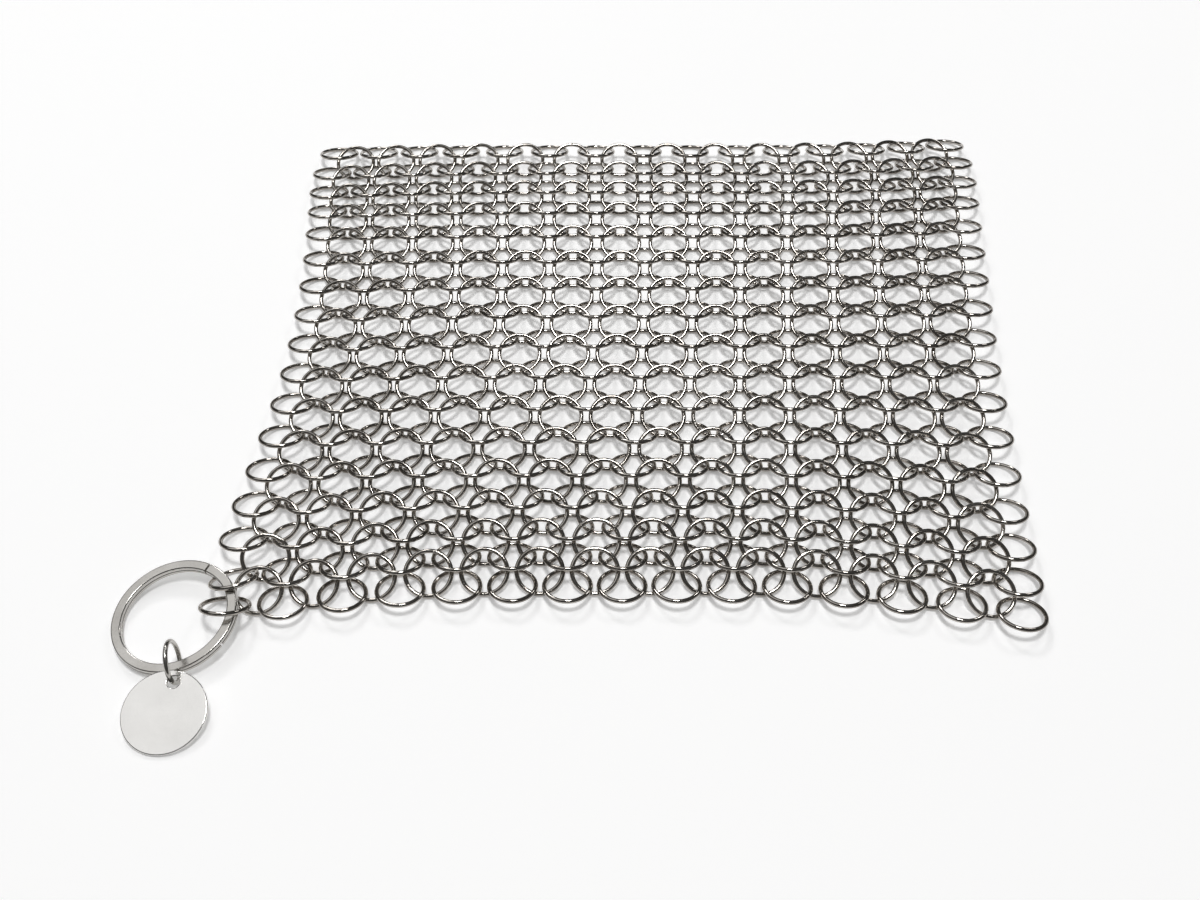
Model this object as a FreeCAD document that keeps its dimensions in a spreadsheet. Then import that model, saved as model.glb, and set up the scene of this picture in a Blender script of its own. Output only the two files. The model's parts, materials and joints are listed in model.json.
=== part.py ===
import FreeCAD, Part
import Sketcher
import math
import os

# Chain mail pot scrubber: rows of linked steel rings, with a split key ring and a round tag at one corner.
#
# Lengths are millimetres and angles radians. The part lies on a flat surface as it does when it is put down.
# Rows of rings run along X, the far edge is at +Y and +Z is up. The origin is under the middle of its box.

Vector = FreeCAD.Vector
UP = Vector(0, 0, 1)

# Driving dimensions: name, value and what it measures.
SIZES = (
    ("ring_bore", 9.8, "clear inside diameter of a mail ring"),
    ("wire_dia", 1.1, "wire of the mail rings"),
    ("key_dia", 29.2, "outside diameter of the split key ring"),
    ("key_width", 2.3, "flat wire of the key ring, across the ring"),
    ("key_height", 2.2, "both coils of the key ring together"),
    ("key_round", 0.35, "rounded edges of the key ring"),
    ("seam_dia", 0.36, "groove where the two coils of the key ring meet"),
    ("split_gap", 0.5, "gap behind each end of the key ring's wire"),
    ("link_dia", 10.4, "outside diameter of the jump ring that holds the tag"),
    ("link_wire", 1.1, "wire of the jump ring"),
    ("tag_dia", 19.0, "diameter of the round tag"),
    ("tag_thick", 0.9, "sheet of the tag"),
    ("tag_hole", 2.8, "hole in the tag"),
    ("tag_web", 1.3, "metal between the tag's hole and its edge"),
    ("tag_round", 0.25, "rounded edges of the tag"),
)

# The mail as it lies. Rows are counted from the far edge. Odd rows have their near edges up and even rows
# their far edges, and each ring of an even row links two rings of the row before it and two of the row after.
ODD_ROW_RINGS = 15
# From each odd row to the next, in ring diameters.
ROW_STEP_SHARES = (
    0.72, 0.76, 0.80, 0.88, 0.915, 0.925, 0.94, 0.95, 0.95, 0.94, 0.93, 0.90, 0.83, 0.78, 0.72, 0.70)
# The middles of each odd row's first and last rings, left and right of the mail's centre line, in ring diameters.
LEFT_END_SHARES = (
    6.80, 6.88, 6.86, 6.80, 6.73, 6.66, 6.61, 6.58, 6.58, 6.61, 6.68, 6.78, 6.89, 7.01, 7.13, 7.22, 7.24)
RIGHT_END_SHARES = (
    9.05, 9.15, 9.12, 9.03, 8.93, 8.83, 8.73, 8.63, 8.53, 8.44, 8.37, 8.31, 8.26, 8.21, 8.17, 8.13, 8.10)
# How far each odd row's ends stray from its middle, away from the near edge, in ring diameters.
LEFT_STRAY_SHARES = (
    -0.10, -0.20, -0.20, -0.15, -0.10, -0.10, -0.12, -0.15, -0.15, -0.12, -0.10, -0.10, -0.12, -0.20, -0.32,
    -0.57, -0.59)
RIGHT_STRAY_SHARES = (
    0.25, 0.24, 0.22, 0.20, 0.17, 0.13, 0.10, 0.06, 0.03, 0.00, -0.05, -0.13, -0.25, -0.38, -0.50, -0.61, -0.69)
STRAY_RINGS = 5
# How much closer together than on average the rings at an odd row's ends lie.
GATHER_SHARES = (
    0.09, 0.11, 0.10, 0.08, 0.06, 0.05, 0.04, 0.03, 0.03, 0.03, 0.03, 0.03, 0.03, 0.03, 0.03, 0.00, -0.03)
# How far a leaning ring's middle is lifted off the surface, in wire diameters.
LIFT_SHARE = 1.86
# The near row, which nothing holds on one side: its move away from the near edge, in ring diameters, and its lift.
NEAR_ROW_MOVE_SHARE = 0.05
NEAR_ROW_LIFT_SHARE = 1.20
# Rings at the near corners, by row and place in the row: moves to the right and away from the near edge,
# in ring diameters, then the rise of the right side and of the near side, in wire diameters.
CORNER_SHARES = {
    (29, 1): (0.03, 0.01, 0.00, 2.14),
    (30, 1): (0.04, -0.035, -0.67, -2.04),
    (31, 1): (0.105, -0.02, 0.94, 2.70),
    (32, 1): (0.055, 0.02, 0.00, -1.85),
    (33, 1): (0.08, 0.06, -0.12, 3.00),
    (33, 15): (-0.02, 0.07, -0.30, 1.40),
}

# The key ring goes through the first rings of the two nearest odd rows.
# Where these keyed rings lie round the key ring, counted from the right, anticlockwise from above.
KEYED_ANGLE = math.radians(28)
# The key ring's wire there, above the keyed rings' middles and outside them, in mail wire diameters.
KEY_RISE_SHARE = 0.80
KEY_OUT_SHARE = 0.30
# The ends of the key ring's wire, counted the same way: the upper coil's, then the lower coil's.
COIL_END_ANGLES = (math.radians(36), math.radians(-60))

# Where the jump ring goes round the key ring's wire, counted the same way.
LINK_ANGLE = math.radians(-78)
# The jump ring's middle above the key ring's wire and outside it, in the jump ring's own radii.
LINK_RISE_SHARE = 0.589
LINK_OUT_SHARE = 0.02
# The jump ring leans back from upright, and its axis is turned from the X axis.
LINK_LEAN = math.radians(6)
LINK_TURN = math.radians(8)
# Where the jump ring goes through the tag's hole, below the jump ring's near side.
HOLE_ANGLE = math.radians(18)
# The way from the tag's middle to its hole, anticlockwise from the X axis.
TAG_ANGLE = math.radians(81)

doc = FreeCAD.newDocument("pot_scrubber")
sheet = doc.addObject("Spreadsheet::Sheet", "sizes")
for line, (alias, value, meaning) in enumerate(SIZES, start=1):
    sheet.set("A%d" % line, meaning)
    sheet.set("B%d" % line, str(value))
    sheet.setAlias("B%d" % line, alias)
doc.recompute()


def size(alias):
    """Read a driving dimension from the sheet."""
    return float(sheet.get(alias))


wire = size("wire_dia")
ring_dia = size("ring_bore") + 2 * wire
ring_radius = (ring_dia - wire) / 2
key_edge = size("key_dia") / 2
key_radius = key_edge - size("key_width") / 2
link_radius = (size("link_dia") - size("link_wire")) / 2
tag_edge = size("tag_dia") / 2
hole_distance = tag_edge - size("tag_web") - size("tag_hole") / 2
cut_overrun = wire


class RoundPiece:
    """Where a round piece lies: its middle, the axis it is round about and how far it reaches."""

    def __init__(self, middle, axis, radius, half_height=0, rim=0):
        self.middle = middle
        self.axis = axis
        self.radius = radius
        self.half_height = half_height
        self.rim = rim

    def reach(self, direction):
        """Distance from the middle to the outermost point along a unit direction."""
        along = abs(self.axis.dot(direction))
        across = math.sqrt(max(0, 1 - along ** 2))
        return self.radius * across + self.half_height * along + self.rim


def rounded_disc(edge, height, rounding):
    """A flat disc or ring with rounded edges, not yet laid down."""
    return RoundPiece(Vector(), UP, edge - rounding, height / 2 - rounding, rounding)


def leaning_axis(right_slope, near_slope):
    """Axis of a flat piece whose right and near sides are raised by these angles."""
    axis = Vector(-math.tan(right_slope), math.tan(near_slope), 1)
    return axis.normalize()


def level_direction(angle):
    """Unit vector in the surface's plane, anticlockwise from the X axis."""
    return Vector(math.cos(angle), math.sin(angle), 0)


def rest_slope(disc, distance, height):
    """Slope of a disc on its low edge, with its middle plane at a height at a distance uphill of its middle."""
    reach = disc.radius + distance
    lift = height - disc.rim
    return math.asin(lift / math.hypot(reach, disc.half_height)) - math.atan2(disc.half_height, reach)


def lean_disc(disc, slope, uphill):
    """Point a disc's axis so that it slopes up along a level direction."""
    disc.axis = UP * math.cos(slope) - uphill * math.sin(slope)


def ring_on_surface(x, y, right_share, near_share):
    """A mail ring that touches the surface, with its sides raised by these lifts of its middle."""
    right_slope = math.asin(right_share * wire / ring_radius)
    near_slope = math.asin(near_share * wire / ring_radius)
    ring = RoundPiece(Vector(x, y, 0), leaning_axis(right_slope, near_slope), ring_radius, rim=wire / 2)
    ring.middle.z = ring.reach(UP)
    return ring


def odd_row_points(index, row_y):
    """Middles of an odd row's rings on the surface, left to right."""
    left_end = -LEFT_END_SHARES[index] * ring_dia
    right_end = RIGHT_END_SHARES[index] * ring_dia
    points = []
    for place in range(ODD_ROW_RINGS):
        along = place / (ODD_ROW_RINGS - 1)
        gathered = along - GATHER_SHARES[index] * math.sin(math.tau * along) / math.tau
        left_stray = LEFT_STRAY_SHARES[index] * max(0, 1 - place / STRAY_RINGS) ** 2
        right_stray = RIGHT_STRAY_SHARES[index] * max(0, 1 - (ODD_ROW_RINGS - 1 - place) / STRAY_RINGS) ** 2
        x = left_end + (right_end - left_end) * gathered
        points.append(Vector(x, row_y + (left_stray + right_stray) * ring_dia, 0))
    return points


def mail_rows():
    """All rows of mail rings, the far row first."""
    row_y = 0
    odd_rows = [odd_row_points(0, row_y)]
    for index, step_share in enumerate(ROW_STEP_SHARES, start=1):
        row_y -= step_share * ring_dia
        odd_rows.append(odd_row_points(index, row_y))
    rows = [odd_rows[0]]
    for before, after in zip(odd_rows, odd_rows[1:]):
        corners = zip(before, before[1:], after, after[1:])
        rows.append([(a + b + c + d) / 4 for a, b, c, d in corners])
        rows.append(after)
    mail = []
    for row_number, points in enumerate(rows, start=1):
        usual = (0, 0, 0, LIFT_SHARE if row_number % 2 else -LIFT_SHARE)
        if row_number == len(rows):
            usual = (0, NEAR_ROW_MOVE_SHARE, 0, NEAR_ROW_LIFT_SHARE)
        rings = []
        for place, point in enumerate(points, start=1):
            right_move, far_move, right_share, near_share = CORNER_SHARES.get((row_number, place), usual)
            x = point.x + right_move * ring_dia
            y = point.y + far_move * ring_dia
            rings.append(ring_on_surface(x, y, right_share, near_share))
        mail.append(rings)
    return mail


def key_ring_place(mail):
    """The key ring: its left edge rests on the surface and its wire goes through the keyed rings."""
    odd_rows = mail[::2]
    passage = (odd_rows[-2][0].middle + odd_rows[-1][0].middle) / 2
    key = rounded_disc(key_edge, size("key_height"), size("key_round"))
    slope = rest_slope(key, key_radius, passage.z + KEY_RISE_SHARE * wire)
    to_passage = level_direction(KEYED_ANGLE)
    lean_disc(key, slope, to_passage)
    key.middle = passage - to_passage * (key_radius * math.cos(slope) - KEY_OUT_SHARE * wire)
    key.middle.z = key.reach(UP)
    return key


def link_place(key):
    """The jump ring: round the key ring's wire on its near side, and leaning."""
    outward = level_direction(LINK_ANGLE)
    outward = (outward - key.axis * outward.dot(key.axis)).normalize()
    wire_middle = key.middle + outward * key_radius
    middle = wire_middle + outward * (LINK_OUT_SHARE * link_radius) + UP * (LINK_RISE_SHARE * link_radius)
    axis = level_direction(LINK_TURN) * math.cos(LINK_LEAN) + UP * math.sin(LINK_LEAN)
    return RoundPiece(middle, axis, link_radius, rim=size("link_wire") / 2)


def tag_place(link):
    """The tag: its near edge rests on the surface and the near part of the jump ring goes through its hole."""
    near_side = link.axis.cross(UP).normalize()
    low_side = link.axis.cross(near_side)
    hole = link.middle + (near_side * math.cos(HOLE_ANGLE) + low_side * math.sin(HOLE_ANGLE)) * link_radius
    tag = rounded_disc(tag_edge, size("tag_thick"), size("tag_round"))
    slope = rest_slope(tag, hole_distance, hole.z)
    to_hole = level_direction(TAG_ANGLE)
    lean_disc(tag, slope, to_hole)
    uphill = to_hole * math.cos(slope) + UP * math.sin(slope)
    tag.middle = hole - uphill * hole_distance
    return tag


mail = mail_rows()
key = key_ring_place(mail)
link = link_place(key)
tag = tag_place(link)


def base_shift():
    """Move from the mail's centre line to the middle of the whole part's base."""
    pieces = [key, link, tag]
    for rings in mail:
        pieces.extend(rings)
    shift = Vector()
    for direction in (Vector(1, 0, 0), Vector(0, 1, 0)):
        low = min(piece.middle.dot(direction) - piece.reach(direction) for piece in pieces)
        high = max(piece.middle.dot(direction) + piece.reach(direction) for piece in pieces)
        shift -= direction * ((low + high) / 2)
    lowest = min(piece.middle.z - piece.reach(UP) for piece in pieces)
    return shift - UP * lowest


shift = base_shift()


def placement(piece, forward):
    """Placement of a round piece whose own X axis points along a direction, as nearly as its axis allows."""
    rotation = FreeCAD.Rotation(forward, Vector(), piece.axis, "ZXY")
    return FreeCAD.Placement(piece.middle + shift, rotation)


def bound(kind, name, **expressions):
    """Make an object whose sizes are bound to the sheet."""
    made = doc.addObject(kind, name)
    for name_of_size, expression in expressions.items():
        made.setExpression(name_of_size, expression)
    return made


def mail_row(row_number, rings):
    """One row of the mail: a separate torus for each ring."""
    tori = []
    for place, ring in enumerate(rings, start=1):
        torus = bound(
            "Part::Torus",
            "ring_%02d_%02d" % (row_number, place),
            Radius1="sizes.ring_bore / 2 + sizes.wire_dia / 2",
            Radius2="sizes.wire_dia / 2",
        )
        torus.Placement = placement(ring, Vector(1, 0, 0))
        tori.append(torus)
    row = doc.addObject("Part::Compound", "mail_row_%02d" % row_number)
    row.Links = tori
    return row


def coil_end(name, angle, lift_expression):
    """A cutter for the gap behind one end of the key ring's wire, half the ring's height."""
    slot = bound(
        "Part::Box",
        name,
        Length="sizes.key_width + 2 * sizes.wire_dia",
        Width="sizes.split_gap",
        Height="sizes.key_height / 2",
    )
    turned = FreeCAD.Rotation(UP, math.degrees(angle))
    inner_corner = Vector(key_edge - size("key_width") - cut_overrun, -size("split_gap") / 2, 0)
    slot.Placement = FreeCAD.Placement(turned.multVec(inner_corner), turned)
    slot.setExpression("Placement.Base.z", lift_expression)
    return slot


def split_key_ring():
    """Two coils of flat wire: a rounded ring with a seam round both walls and a gap at each wire end."""
    outside = bound("Part::Cylinder", "key_outside", Radius="sizes.key_dia / 2", Height="sizes.key_height")
    hole = bound(
        "Part::Cylinder", "key_hole", Radius="sizes.key_dia / 2 - sizes.key_width", Height="sizes.key_height")
    blank = doc.addObject("Part::Cut", "key_blank")
    blank.Base = outside
    blank.Tool = hole
    doc.recompute()
    rims = []
    for number, edge in enumerate(blank.Shape.Edges, start=1):
        if isinstance(edge.Curve, Part.Circle):
            rims.append((number, size("key_round"), size("key_round")))
    rounded = doc.addObject("Part::Fillet", "key_rounded")
    rounded.Base = blank
    rounded.Edges = rims
    outer_seam = bound("Part::Torus", "key_outer_seam", Radius1="sizes.key_dia / 2", Radius2="sizes.seam_dia / 2")
    inner_seam = bound(
        "Part::Torus",
        "key_inner_seam",
        Radius1="sizes.key_dia / 2 - sizes.key_width",
        Radius2="sizes.seam_dia / 2",
    )
    for seam in (outer_seam, inner_seam):
        seam.setExpression("Placement.Base.z", "sizes.key_height / 2")
    upper_end = coil_end("key_upper_end", COIL_END_ANGLES[0], "sizes.key_height / 2")
    lower_end = coil_end("key_lower_end", COIL_END_ANGLES[1], "0")
    cutters = doc.addObject("Part::MultiFuse", "key_cutters")
    cutters.Shapes = [outer_seam, inner_seam, upper_end, lower_end]
    ring = doc.addObject("Part::Cut", "split_key_ring")
    ring.Base = rounded
    ring.Tool = cutters
    ring.Placement = placement(key, level_direction(KEYED_ANGLE))
    ring.Placement.Base -= key.axis * (size("key_height") / 2)
    return ring


def tag_link():
    """The closed jump ring."""
    ring = bound(
        "Part::Torus",
        "tag_link",
        Radius1="sizes.link_dia / 2 - sizes.link_wire / 2",
        Radius2="sizes.link_wire / 2",
    )
    ring.Placement = placement(link, UP)
    return ring


def round_tag():
    """The tag: a disc with a hole beside its edge and rounded edges."""
    body = doc.addObject("PartDesign::Body", "round_tag")
    sketch = body.newObject("Sketcher::SketchObject", "tag_outline")
    sketch.AttachmentSupport = [(plane, "") for plane in body.Origin.OriginFeatures if plane.Role == "XY_Plane"]
    sketch.MapMode = "FlatFace"
    to_hole = Vector(hole_distance, 0, 0)
    rim = sketch.addGeometry(Part.Circle(Vector(), UP, tag_edge))
    hole = sketch.addGeometry(Part.Circle(to_hole, UP, size("tag_hole") / 2))
    centre_point = 3
    origin = -1
    x_axis = -1
    origin_point = 1
    sketch.addConstraint(Sketcher.Constraint("Coincident", rim, centre_point, origin, origin_point))
    sketch.addConstraint(Sketcher.Constraint("PointOnObject", hole, centre_point, x_axis))
    bindings = (
        (("Radius", rim, tag_edge), "sizes.tag_dia / 2"),
        (("Radius", hole, size("tag_hole") / 2), "sizes.tag_hole / 2"),
        (
            ("DistanceX", origin, origin_point, hole, centre_point, hole_distance),
            "sizes.tag_dia / 2 - sizes.tag_web - sizes.tag_hole / 2",
        ),
    )
    for constraint, expression in bindings:
        number = sketch.addConstraint(Sketcher.Constraint(*constraint))
        sketch.setExpression("Constraints[%d]" % number, expression)
    disc = body.newObject("PartDesign::Pad", "tag_disc")
    disc.Profile = sketch
    disc.setExpression("Length", "sizes.tag_thick")
    doc.recompute()
    circles = []
    for number, edge in enumerate(disc.Shape.Edges, start=1):
        if isinstance(edge.Curve, Part.Circle):
            circles.append("Edge%d" % number)
    rounded = body.newObject("PartDesign::Fillet", "tag_edges")
    rounded.Base = (disc, circles)
    rounded.setExpression("Radius", "sizes.tag_round")
    body.Placement = placement(tag, level_direction(TAG_ANGLE))
    body.Placement.Base -= tag.axis * (size("tag_thick") / 2)
    return body


def write_parts(parts):
    """Check every object of the document, then write one file for each sub-part."""
    doc.recompute()
    failed = [made.Label for made in doc.Objects if "Invalid" in made.State or "Error" in made.State]
    if failed:
        raise RuntimeError("failed objects: %s" % ", ".join(failed))
    for part in parts:
        if part.Shape.isNull() or not part.Shape.isValid():
            raise RuntimeError("bad shape: %s" % part.Label)
    os.makedirs("parts", exist_ok=True)
    for part in parts:
        part.Shape.exportStep("parts/%s.step" % part.Label)
        print("%s: %d solids, %.2f mm3" % (part.Label, len(part.Shape.Solids), part.Shape.Volume))


sub_parts = [mail_row(row_number, rings) for row_number, rings in enumerate(mail, start=1)]
sub_parts += [split_key_ring(), tag_link(), round_tag()]
write_parts(sub_parts)
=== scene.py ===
"""Studio scene of a chain mail pot scrubber: linked steel rings, a split key ring, a jump ring and a round tag."""
import bpy
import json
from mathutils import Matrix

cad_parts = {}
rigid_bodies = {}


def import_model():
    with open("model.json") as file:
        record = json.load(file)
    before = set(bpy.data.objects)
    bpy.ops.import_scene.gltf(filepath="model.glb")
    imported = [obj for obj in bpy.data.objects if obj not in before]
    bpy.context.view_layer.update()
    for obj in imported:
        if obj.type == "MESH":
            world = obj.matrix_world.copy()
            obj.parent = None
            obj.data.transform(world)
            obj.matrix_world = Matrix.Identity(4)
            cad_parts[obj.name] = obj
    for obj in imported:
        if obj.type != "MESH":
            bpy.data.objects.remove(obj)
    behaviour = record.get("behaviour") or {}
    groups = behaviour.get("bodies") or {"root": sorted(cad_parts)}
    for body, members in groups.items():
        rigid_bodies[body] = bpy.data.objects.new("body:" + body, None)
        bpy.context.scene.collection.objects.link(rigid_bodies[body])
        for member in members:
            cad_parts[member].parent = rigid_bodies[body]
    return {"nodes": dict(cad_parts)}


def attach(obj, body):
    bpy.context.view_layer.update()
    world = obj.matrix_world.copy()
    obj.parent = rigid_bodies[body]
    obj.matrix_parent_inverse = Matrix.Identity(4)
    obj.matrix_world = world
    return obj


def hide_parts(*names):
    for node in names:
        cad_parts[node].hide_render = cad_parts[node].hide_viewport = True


for left_over in list(bpy.data.objects):
    bpy.data.objects.remove(left_over)
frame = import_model()

import json
import logging
import math
import random
from dataclasses import dataclass, field
from enum import Enum

import bmesh
import numpy as np
from mathutils import Matrix, Vector

LOG = logging.getLogger("pot_scrubber")
MM = 0.001
Triple = tuple[float, float, float]

POLISH_INPUTS = {
    "Vector": "NodeSocketVector",
    "Clean": "NodeSocketColor",
    "Dull": "NodeSocketColor",
    "Tone": "NodeSocketFloat",
    "Cloud Scale": "NodeSocketFloat",
    "Scuff Scale": "NodeSocketFloat",
    "Smooth": "NodeSocketFloat",
    "Rough": "NodeSocketFloat",
}
POLISH_OUTPUTS = {
    "Color": "NodeSocketColor",
    "Roughness": "NodeSocketFloat",
    "Height": "NodeSocketFloat",
}
CLOUD_DETAIL = 4.0
SCUFF_DETAIL = 6.0
SCUFF_ROUGHNESS = 0.7
CLEAN_BELOW = 0.30
DULL_ABOVE = 0.75
SMOOTH_BELOW = 0.35
ROUGH_ABOVE = 0.70
MIX_COLOUR_A = 6
MIX_COLOUR_B = 7
MIX_COLOUR_RESULT = 2


class Slot(Enum):
    """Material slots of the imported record."""

    RING_STEEL = "ring_steel"
    KEY_NICKEL = "key_nickel"
    TAG_NICKEL = "tag_nickel"


class Lean(Enum):
    """Which edge of a row's rings stands up, with the number of rings in such a row."""

    NEAR_EDGE_UP = 15
    FAR_EDGE_UP = 14


def polish_group() -> bpy.types.NodeTree:
    """Node group for worn polish on metal: a cloudy tone and fine scuffs.

    Returns:
        The shared group, made on the first call.
    """
    found = bpy.data.node_groups.get("worn_polish")
    if found:
        return found
    group = bpy.data.node_groups.new("worn_polish", "ShaderNodeTree")
    for name, kind in POLISH_INPUTS.items():
        group.interface.new_socket(name, in_out="INPUT", socket_type=kind)
    for name, kind in POLISH_OUTPUTS.items():
        group.interface.new_socket(name, in_out="OUTPUT", socket_type=kind)
    nodes = group.nodes
    links = group.links
    given = nodes.new("NodeGroupInput")
    made = nodes.new("NodeGroupOutput")

    cloud = nodes.new("ShaderNodeTexNoise")
    cloud.inputs["Detail"].default_value = CLOUD_DETAIL
    links.new(given.outputs["Vector"], cloud.inputs["Vector"])
    links.new(given.outputs["Cloud Scale"], cloud.inputs["Scale"])

    scuff = nodes.new("ShaderNodeTexNoise")
    scuff.inputs["Detail"].default_value = SCUFF_DETAIL
    scuff.inputs["Roughness"].default_value = SCUFF_ROUGHNESS
    links.new(given.outputs["Vector"], scuff.inputs["Vector"])
    links.new(given.outputs["Scuff Scale"], scuff.inputs["Scale"])

    toned = nodes.new("ShaderNodeMath")
    toned.operation = "ADD"
    links.new(cloud.outputs["Fac"], toned.inputs[0])
    links.new(given.outputs["Tone"], toned.inputs[1])

    spread = nodes.new("ShaderNodeMapRange")
    spread.inputs["From Min"].default_value = CLEAN_BELOW
    spread.inputs["From Max"].default_value = DULL_ABOVE
    links.new(toned.outputs[0], spread.inputs["Value"])

    colour = nodes.new("ShaderNodeMix")
    colour.data_type = "RGBA"
    links.new(spread.outputs["Result"], colour.inputs["Factor"])
    links.new(given.outputs["Clean"], colour.inputs[MIX_COLOUR_A])
    links.new(given.outputs["Dull"], colour.inputs[MIX_COLOUR_B])

    grade = nodes.new("ShaderNodeMapRange")
    grade.inputs["From Min"].default_value = SMOOTH_BELOW
    grade.inputs["From Max"].default_value = ROUGH_ABOVE
    links.new(scuff.outputs["Fac"], grade.inputs["Value"])
    links.new(given.outputs["Smooth"], grade.inputs["To Min"])
    links.new(given.outputs["Rough"], grade.inputs["To Max"])

    links.new(colour.outputs[MIX_COLOUR_RESULT], made.inputs["Color"])
    links.new(grade.outputs["Result"], made.inputs["Roughness"])
    links.new(scuff.outputs["Fac"], made.inputs["Height"])
    return group


@dataclass(frozen=True)
class MetalFinish:
    """One polished metal: two tones, a span of roughness and the grain of its scuffs."""

    slot: Slot
    clean: Triple
    dull: Triple
    smooth: float
    rough: float
    cloud_scale: float
    scuff_scale: float
    scuff_depth: float
    tone_attribute: str = ""

    @property
    def name(self) -> str:
        """Name of the material, apart from the slot's own plain material."""
        return f"worn_{self.slot.value}"

    def material(self) -> bpy.types.Material:
        """Make the metal's material.

        Returns:
            The material, made on the first call.
        """
        found = bpy.data.materials.get(self.name)
        if found:
            return found
        made = bpy.data.materials.new(self.name)
        made.use_nodes = True
        nodes = made.node_tree.nodes
        links = made.node_tree.links
        shader = nodes["Principled BSDF"]
        shader.inputs["Metallic"].default_value = 1.0
        place = nodes.new("ShaderNodeTexCoord")
        polish = nodes.new("ShaderNodeGroup")
        polish.node_tree = polish_group()
        polish.inputs["Clean"].default_value = (*self.clean, 1.0)
        polish.inputs["Dull"].default_value = (*self.dull, 1.0)
        polish.inputs["Cloud Scale"].default_value = self.cloud_scale
        polish.inputs["Scuff Scale"].default_value = self.scuff_scale
        polish.inputs["Smooth"].default_value = self.smooth
        polish.inputs["Rough"].default_value = self.rough
        links.new(place.outputs["Object"], polish.inputs["Vector"])
        if self.tone_attribute:
            tone = nodes.new("ShaderNodeAttribute")
            tone.attribute_name = self.tone_attribute
            links.new(tone.outputs["Fac"], polish.inputs["Tone"])
        bump = nodes.new("ShaderNodeBump")
        bump.inputs["Distance"].default_value = self.scuff_depth
        bump.inputs["Strength"].default_value = 1.0
        links.new(polish.outputs["Height"], bump.inputs["Height"])
        links.new(polish.outputs["Color"], shader.inputs["Base Color"])
        links.new(polish.outputs["Roughness"], shader.inputs["Roughness"])
        links.new(bump.outputs["Normal"], shader.inputs["Normal"])
        return made


RING_TONE = "ring_tone"
RING_STEEL = MetalFinish(
    slot=Slot.RING_STEEL,
    clean=(0.48, 0.453, 0.421),
    dull=(0.28, 0.258, 0.233),
    smooth=0.05,
    rough=0.13,
    cloud_scale=320.0,
    scuff_scale=2600.0,
    scuff_depth=0.004 * MM,
    tone_attribute=RING_TONE,
)
KEY_NICKEL = MetalFinish(
    slot=Slot.KEY_NICKEL,
    clean=(0.54, 0.525, 0.50),
    dull=(0.44, 0.425, 0.40),
    smooth=0.16,
    rough=0.27,
    cloud_scale=180.0,
    scuff_scale=1800.0,
    scuff_depth=0.004 * MM,
)
TAG_NICKEL = MetalFinish(
    slot=Slot.TAG_NICKEL,
    clean=(0.77, 0.76, 0.742),
    dull=(0.70, 0.69, 0.672),
    smooth=0.12,
    rough=0.22,
    cloud_scale=120.0,
    scuff_scale=1500.0,
    scuff_depth=0.003 * MM,
)


@dataclass(frozen=True)
class RingPlace:
    """Where one mail ring lies: its middle and the line it turns about."""

    middle: Vector
    axis: Vector

    def matrix(self, turn: float) -> Matrix:
        """Matrix that takes a flat ring at the origin to this place.

        Args:
            turn: Angle of the ring about its own line, in radians.

        Returns:
            The ring's place as a 4 x 4 matrix.
        """
        lean = self.axis.to_track_quat("Z", "X").to_matrix().to_4x4()
        return Matrix.Translation(self.middle) @ lean @ Matrix.Rotation(turn, 4, "Z")


@dataclass
class RingCage:
    """Coarse cage of a mail ring, which a Subdivision Surface rounds to a smooth wire ring.

    Rounding draws the cage inwards, round the ring and round its four-sided section. The cage is made larger by
    both shares, so that the smooth ring has the sizes given here.
    """

    ring_radius: float = 5.45 * MM
    wire_radius: float = 0.55 * MM
    sides: int = 4
    steps: int = 12
    section_share: float = 0.6575
    merge_distance: float = 0.001 * MM

    def mesh(self) -> bpy.types.Mesh:
        """Spin a four-sided section round the ring's line.

        Returns:
            The cage's mesh, with the ring flat at the origin.
        """
        round_share = (2.0 + math.cos(2.0 * math.pi / self.steps)) / 3.0
        ring = self.ring_radius / round_share
        wire = self.wire_radius / (self.section_share * round_share)
        bm = bmesh.new()
        stand = Matrix.Translation((ring, 0.0, 0.0)) @ Matrix.Rotation(math.pi / 2.0, 4, "X")
        section = bmesh.ops.create_circle(bm, cap_ends=False, segments=self.sides, radius=wire, matrix=stand)
        bmesh.ops.scale(bm, vec=(1.0, 1.0, round_share), verts=section["verts"])
        bmesh.ops.spin(
            bm,
            geom=bm.verts[:] + bm.edges[:],
            cent=(0.0, 0.0, 0.0),
            axis=(0.0, 0.0, 1.0),
            angle=2.0 * math.pi,
            steps=self.steps,
            use_merge=True,
        )
        bmesh.ops.remove_doubles(bm, verts=bm.verts[:], dist=self.merge_distance)
        bmesh.ops.recalc_face_normals(bm, faces=bm.faces[:])
        made = bpy.data.meshes.new("ring_cage")
        bm.to_mesh(made)
        bm.free()
        return made


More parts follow.
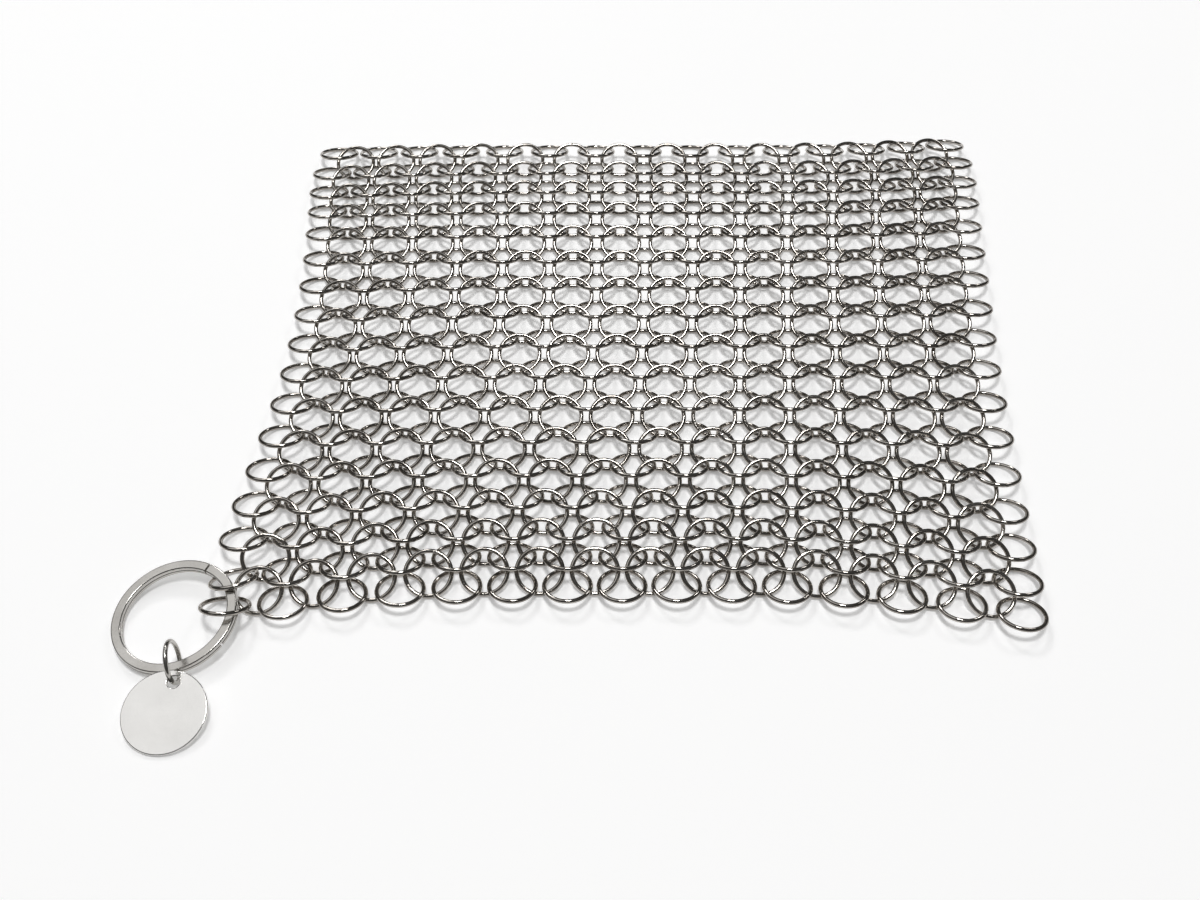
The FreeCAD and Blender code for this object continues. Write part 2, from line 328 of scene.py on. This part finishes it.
@dataclass
class MailRow:
    """One row of the chain mail, a single line of equal steel rings."""

    number: int
    cage: bpy.types.Mesh
    finish: MetalFinish = RING_STEEL
    levels: int = 2
    tone_spread: float = 0.16

    @property
    def name(self) -> str:
        """Name of the row's node and body."""
        return f"mail_row_{self.number:02d}"

    @property
    def lean(self) -> Lean:
        """Which edge of this row's rings stands up."""
        return Lean.NEAR_EDGE_UP if self.number % 2 else Lean.FAR_EDGE_UP

    def places(self) -> list[RingPlace]:
        """Read each ring's place from the row's solid, whose rings follow each other in its mesh.

        Returns:
            One place for each ring, from left to right.
        """
        solid = frame["nodes"][self.name].data
        flat = np.empty(len(solid.vertices) * 3)
        solid.vertices.foreach_get("co", flat)
        found = []
        for points in np.split(flat.reshape(-1, 3), self.lean.value):
            middle = (points.min(axis=0) + points.max(axis=0)) / 2.0
            lines = np.linalg.eigh(np.cov((points - middle).T))[1]
            axis = Vector(lines[:, 0])
            found.append(RingPlace(Vector(middle), axis if axis.z > 0.0 else -axis))
        return found

    def mesh(self) -> bpy.types.Mesh:
        """Set a ring cage at every place, each turned about its own line and with a tone of its own.

        Returns:
            The row's mesh.
        """
        chance = random.Random(self.number)
        bm = bmesh.new()
        tone = bm.verts.layers.float.new(RING_TONE)
        count = len(self.cage.vertices)
        for place in self.places():
            bm.from_mesh(self.cage)
            ring = bm.verts[-count:]
            bmesh.ops.transform(bm, matrix=place.matrix(chance.uniform(0.0, math.pi)), verts=ring)
            shade = chance.uniform(-self.tone_spread, self.tone_spread)
            for vert in ring:
                vert[tone] = shade
        for face in bm.faces:
            face.smooth = True
        made = bpy.data.meshes.new(f"{self.name}_rings")
        bm.to_mesh(made)
        bm.free()
        return made

    def build(self) -> bpy.types.Object:
        """Build the row's rings and dress them.

        Returns:
            The row's piece, riding on its body.
        """
        mesh = self.mesh()
        mesh.materials.append(self.finish.material())
        piece = bpy.data.objects.new(f"{self.name}_rings", mesh)
        bpy.context.scene.collection.objects.link(piece)
        smooth = piece.modifiers.new("round_wire", "SUBSURF")
        smooth.levels = self.levels
        smooth.render_levels = self.levels
        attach(piece, self.name)
        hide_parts(self.name)
        LOG.info("%s: %d rings", self.name, self.lean.value)
        return piece


@dataclass
class ChainMail:
    """The square of chain mail, row by row from the far edge."""

    rows: int = 33
    cage: RingCage = field(default_factory=RingCage)

    def build(self) -> list[bpy.types.Object]:
        """Build every row.

        Returns:
            The rows' pieces.
        """
        mesh = self.cage.mesh()
        return [MailRow(number, mesh).build() for number in range(1, self.rows + 1)]


@dataclass
class CornerHardware:
    """The split key ring, the jump ring and the round tag at the near left corner."""

    key_finish: MetalFinish = KEY_NICKEL
    tag_finish: MetalFinish = TAG_NICKEL

    def dress(self) -> None:
        """Give the corner's solids their metals."""
        for name, finish in (
            ("split_key_ring", self.key_finish),
            ("tag_link", self.key_finish),
            ("round_tag", self.tag_finish),
        ):
            mesh = frame["nodes"][name].data
            mesh.materials.clear()
            mesh.materials.append(finish.material())
            LOG.info("%s: %s", name, finish.name)


@dataclass(frozen=True)
class SoftLamp:
    """A square soft lamp that faces the middle of the table, with its side in metres and its power in watts."""

    name: str
    place: Triple
    side: float
    power: float

    def hang(self) -> bpy.types.Object:
        """Hang the lamp.

        Returns:
            The lamp's object.
        """
        data = bpy.data.lights.new(self.name, "AREA")
        data.shape = "SQUARE"
        data.size = self.side
        data.energy = self.power
        made = bpy.data.objects.new(self.name, data)
        made.location = self.place
        made.rotation_euler = (-Vector(self.place)).to_track_quat("-Z", "Y").to_euler()
        bpy.context.scene.collection.objects.link(made)
        return made


LAMPS = (
    SoftLamp("broad_lamp", place=(-1.20, 0.77, 2.52), side=2.10, power=13.0),
    SoftLamp("top_lamp", place=(0.05, 0.15, 2.80), side=0.55, power=31.0),
    SoftLamp("left_lamp", place=(-0.75, 2.16, 1.95), side=0.50, power=12.5),
    SoftLamp("right_lamp", place=(1.30, 1.90, 1.90), side=0.40, power=6.0),
)


@dataclass
class Studio:
    """White table, soft lamps and the camera."""

    table_size: float = 12.0
    table_cells: int = 4
    table_white: Triple = (0.97, 0.97, 0.97)
    table_roughness: float = 0.6
    table_specular: float = 0.2
    table_glow: float = 0.26
    room_low: Triple = (0.070, 0.069, 0.067)
    room_high: Triple = (0.10, 0.10, 0.10)
    room_low_height: float = 0.45
    room_high_height: float = 0.95
    camera_place: Triple = (-2.03 * MM, -235.5 * MM, 255.0 * MM)
    camera_pitch: float = 40.0
    lens: float = 39.0
    sensor_width: float = 36.0
    nearest_seen: float = 0.01
    farthest_seen: float = 20.0
    lamps: tuple[SoftLamp, ...] = LAMPS

    def table_paint(self) -> bpy.types.Material:
        """Make the table's white, with a glow that the camera and mirroring metal see.

        Returns:
            The table's material.
        """
        made = bpy.data.materials.new("table_white")
        made.use_nodes = True
        nodes = made.node_tree.nodes
        links = made.node_tree.links
        shader = nodes["Principled BSDF"]
        shader.inputs["Base Color"].default_value = (*self.table_white, 1.0)
        shader.inputs["Roughness"].default_value = self.table_roughness
        shader.inputs["Specular IOR Level"].default_value = self.table_specular
        shader.inputs["Emission Color"].default_value = (1.0, 1.0, 1.0, 1.0)
        path = nodes.new("ShaderNodeLightPath")
        mirrored = nodes.new("ShaderNodeMath")
        mirrored.operation = "MAXIMUM"
        links.new(path.outputs["Is Glossy Ray"], mirrored.inputs[0])
        links.new(path.outputs["Is Transmission Ray"], mirrored.inputs[1])
        seen = nodes.new("ShaderNodeMath")
        seen.operation = "MAXIMUM"
        links.new(path.outputs["Is Camera Ray"], seen.inputs[0])
        links.new(mirrored.outputs[0], seen.inputs[1])
        glow = nodes.new("ShaderNodeMath")
        glow.operation = "MULTIPLY"
        glow.inputs[1].default_value = self.table_glow
        links.new(seen.outputs[0], glow.inputs[0])
        links.new(glow.outputs[0], shader.inputs["Emission Strength"])
        return made

    def table(self) -> bpy.types.Object:
        """Make the pale table top.

        Returns:
            The table's object.
        """
        bm = bmesh.new()
        cells = self.table_cells
        bmesh.ops.create_grid(bm, x_segments=cells, y_segments=cells, size=self.table_size / 2.0)
        mesh = bpy.data.meshes.new("table_top")
        bm.to_mesh(mesh)
        bm.free()
        mesh.materials.append(self.table_paint())
        made = bpy.data.objects.new("table_top", mesh)
        bpy.context.scene.collection.objects.link(made)
        return made

    def room(self) -> None:
        """Set the dim grey of the studio round the table."""
        world = bpy.data.worlds.new("studio")
        world.use_nodes = True
        nodes = world.node_tree.nodes
        links = world.node_tree.links
        sky = nodes["Background"]
        sky.inputs["Strength"].default_value = 1.0
        way = nodes.new("ShaderNodeTexCoord")
        split = nodes.new("ShaderNodeSeparateXYZ")
        grade = nodes.new("ShaderNodeValToRGB")
        low, high = grade.color_ramp.elements
        low.position = self.room_low_height
        low.color = (*self.room_low, 1.0)
        high.position = self.room_high_height
        high.color = (*self.room_high, 1.0)
        links.new(way.outputs["Generated"], split.inputs["Vector"])
        links.new(split.outputs["Z"], grade.inputs["Fac"])
        links.new(grade.outputs["Color"], sky.inputs["Color"])
        bpy.context.scene.world = world

    def camera(self) -> bpy.types.Object:
        """Stand the camera where the photograph was taken from.

        Returns:
            The camera's object.
        """
        data = bpy.data.cameras.new("camera")
        data.sensor_fit = "HORIZONTAL"
        data.sensor_width = self.sensor_width
        data.lens = self.lens
        data.clip_start = self.nearest_seen
        data.clip_end = self.farthest_seen
        made = bpy.data.objects.new("camera", data)
        made.location = self.camera_place
        made.rotation_euler = (math.radians(self.camera_pitch), 0.0, 0.0)
        bpy.context.scene.collection.objects.link(made)
        bpy.context.scene.camera = made
        return made

    def build(self) -> None:
        """Set up the camera, the table, the room and the lamps."""
        self.camera()
        self.table()
        self.room()
        for lamp in self.lamps:
            lamp.hang()
        bpy.context.scene.view_settings.view_transform = "Standard"


def main() -> None:
    """Build the pot scrubber's pieces and the studio."""
    logging.basicConfig(level=logging.INFO, format="%(message)s")
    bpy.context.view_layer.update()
    Studio().build()
    ChainMail().build()
    CornerHardware().dress()


if __name__ == "__main__":
    main()
